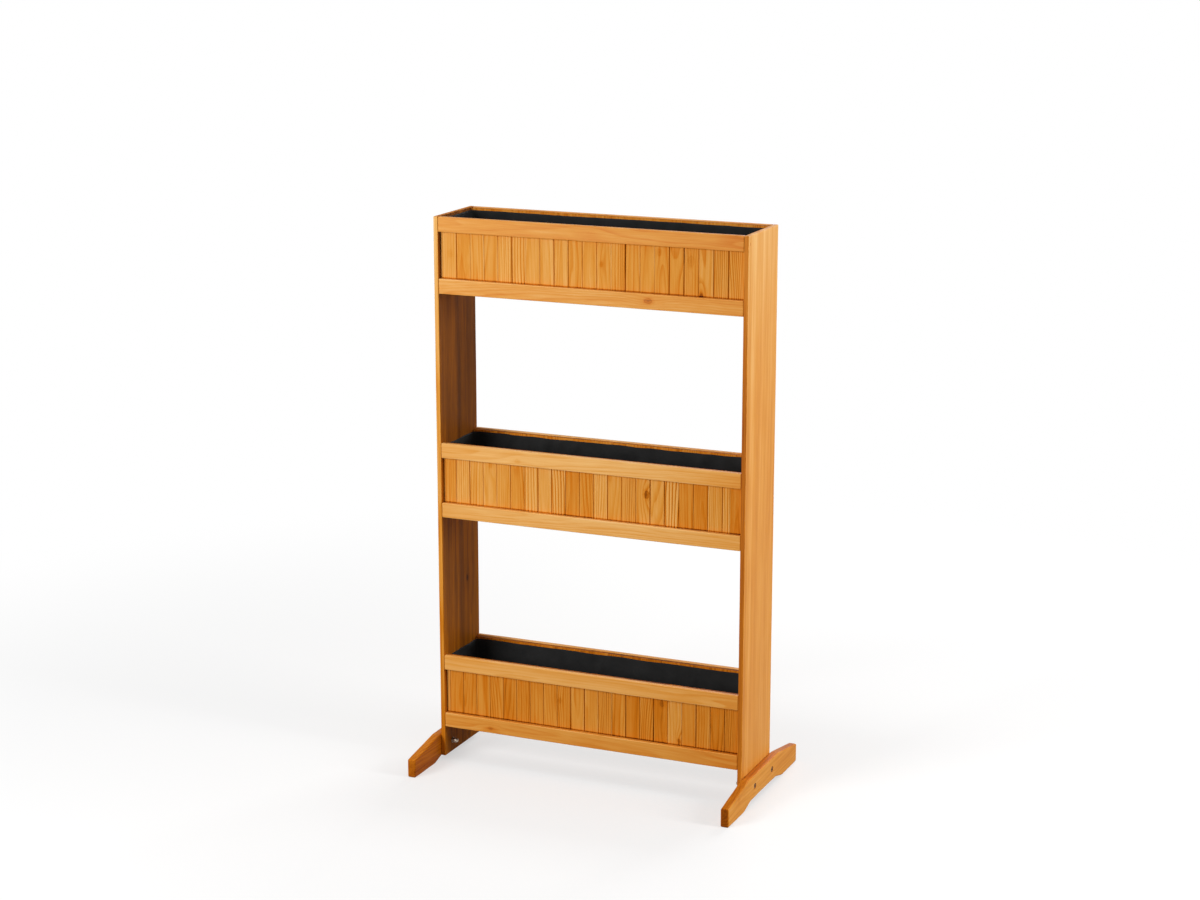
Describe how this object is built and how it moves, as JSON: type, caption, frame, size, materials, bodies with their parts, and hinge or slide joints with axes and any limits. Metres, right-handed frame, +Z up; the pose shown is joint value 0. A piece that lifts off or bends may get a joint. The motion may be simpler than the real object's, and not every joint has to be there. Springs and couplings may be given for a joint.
{
  "type": "tiered raised planter",
  "caption": "Free-standing wooden planter: open troughs with tongue-and-groove fronts, one above another, carried between two side panels on bowed bolted feet.",
  "frame": {"origin": "on the floor, under the middle of the planter", "axes": "+Z up, +X to the right as seen from the front, +Y to the back, so the front of each trough faces -Y"},
  "size_m": [0.7366, 0.425, 1.2],
  "materials": {
    "panel_wood": "honey-stained softwood, satin",
    "rail_wood": "honey-stained softwood, satin",
    "board_wood": "honey-stained softwood, satin",
    "foot_wood": "honey-stained softwood, satin",
    "plain_wood": "sawn softwood, matt",
    "liner_cloth": "matt black non-woven liner",
    "zinc_plated_steel": "bright zinc plate"
  },
  "bodies": {
    "root": {"side_panel_left": "panel_wood", "foot_left": "foot_wood", "bolt_left_front": "zinc_plated_steel", "washer_left_front": "zinc_plated_steel", "dome_nut_left_front": "zinc_plated_steel", "bolt_left_back": "zinc_plated_steel", "washer_left_back": "zinc_plated_steel", "dome_nut_left_back": "zinc_plated_steel", "side_panel_right": "panel_wood", "foot_right": "foot_wood", "bolt_right_front": "zinc_plated_steel", "washer_right_front": "zinc_plated_steel", "dome_nut_right_front": "zinc_plated_steel", "bolt_right_back": "zinc_plated_steel", "washer_right_back": "zinc_plated_steel", "dome_nut_right_back": "zinc_plated_steel", "top_front_top_rail": "rail_wood", "top_front_boards": "board_wood", "top_front_bottom_rail": "rail_wood", "top_back_top_rail": "rail_wood", "top_back_boards": "board_wood", "top_back_bottom_rail": "rail_wood", "top_bearer_1": "plain_wood", "top_bearer_2": "plain_wood", "top_bearer_3": "plain_wood", "top_floor_board_1": "plain_wood", "top_floor_board_2": "plain_wood", "top_floor_board_3": "plain_wood", "top_liner": "liner_cloth", "middle_front_top_rail": "rail_wood", "middle_front_boards": "board_wood", "middle_front_bottom_rail": "rail_wood", "middle_back_top_rail": "rail_wood", "middle_back_boards": "board_wood", "middle_back_bottom_rail": "rail_wood", "middle_bearer_1": "plain_wood", "middle_bearer_2": "plain_wood", "middle_bearer_3": "plain_wood", "middle_floor_board_1": "plain_wood", "middle_floor_board_2": "plain_wood", "middle_floor_board_3": "plain_wood", "middle_liner": "liner_cloth", "bottom_front_top_rail": "rail_wood", "bottom_front_boards": "board_wood", "bottom_front_bottom_rail": "rail_wood", "bottom_back_top_rail": "rail_wood", "bottom_back_boards": "board_wood", "bottom_back_bottom_rail": "rail_wood", "bottom_bearer_1": "plain_wood", "bottom_bearer_2": "plain_wood", "bottom_bearer_3": "plain_wood", "bottom_floor_board_1": "plain_wood", "bottom_floor_board_2": "plain_wood", "bottom_floor_board_3": "plain_wood", "bottom_liner": "liner_cloth"}
  },
  "joints": []
}
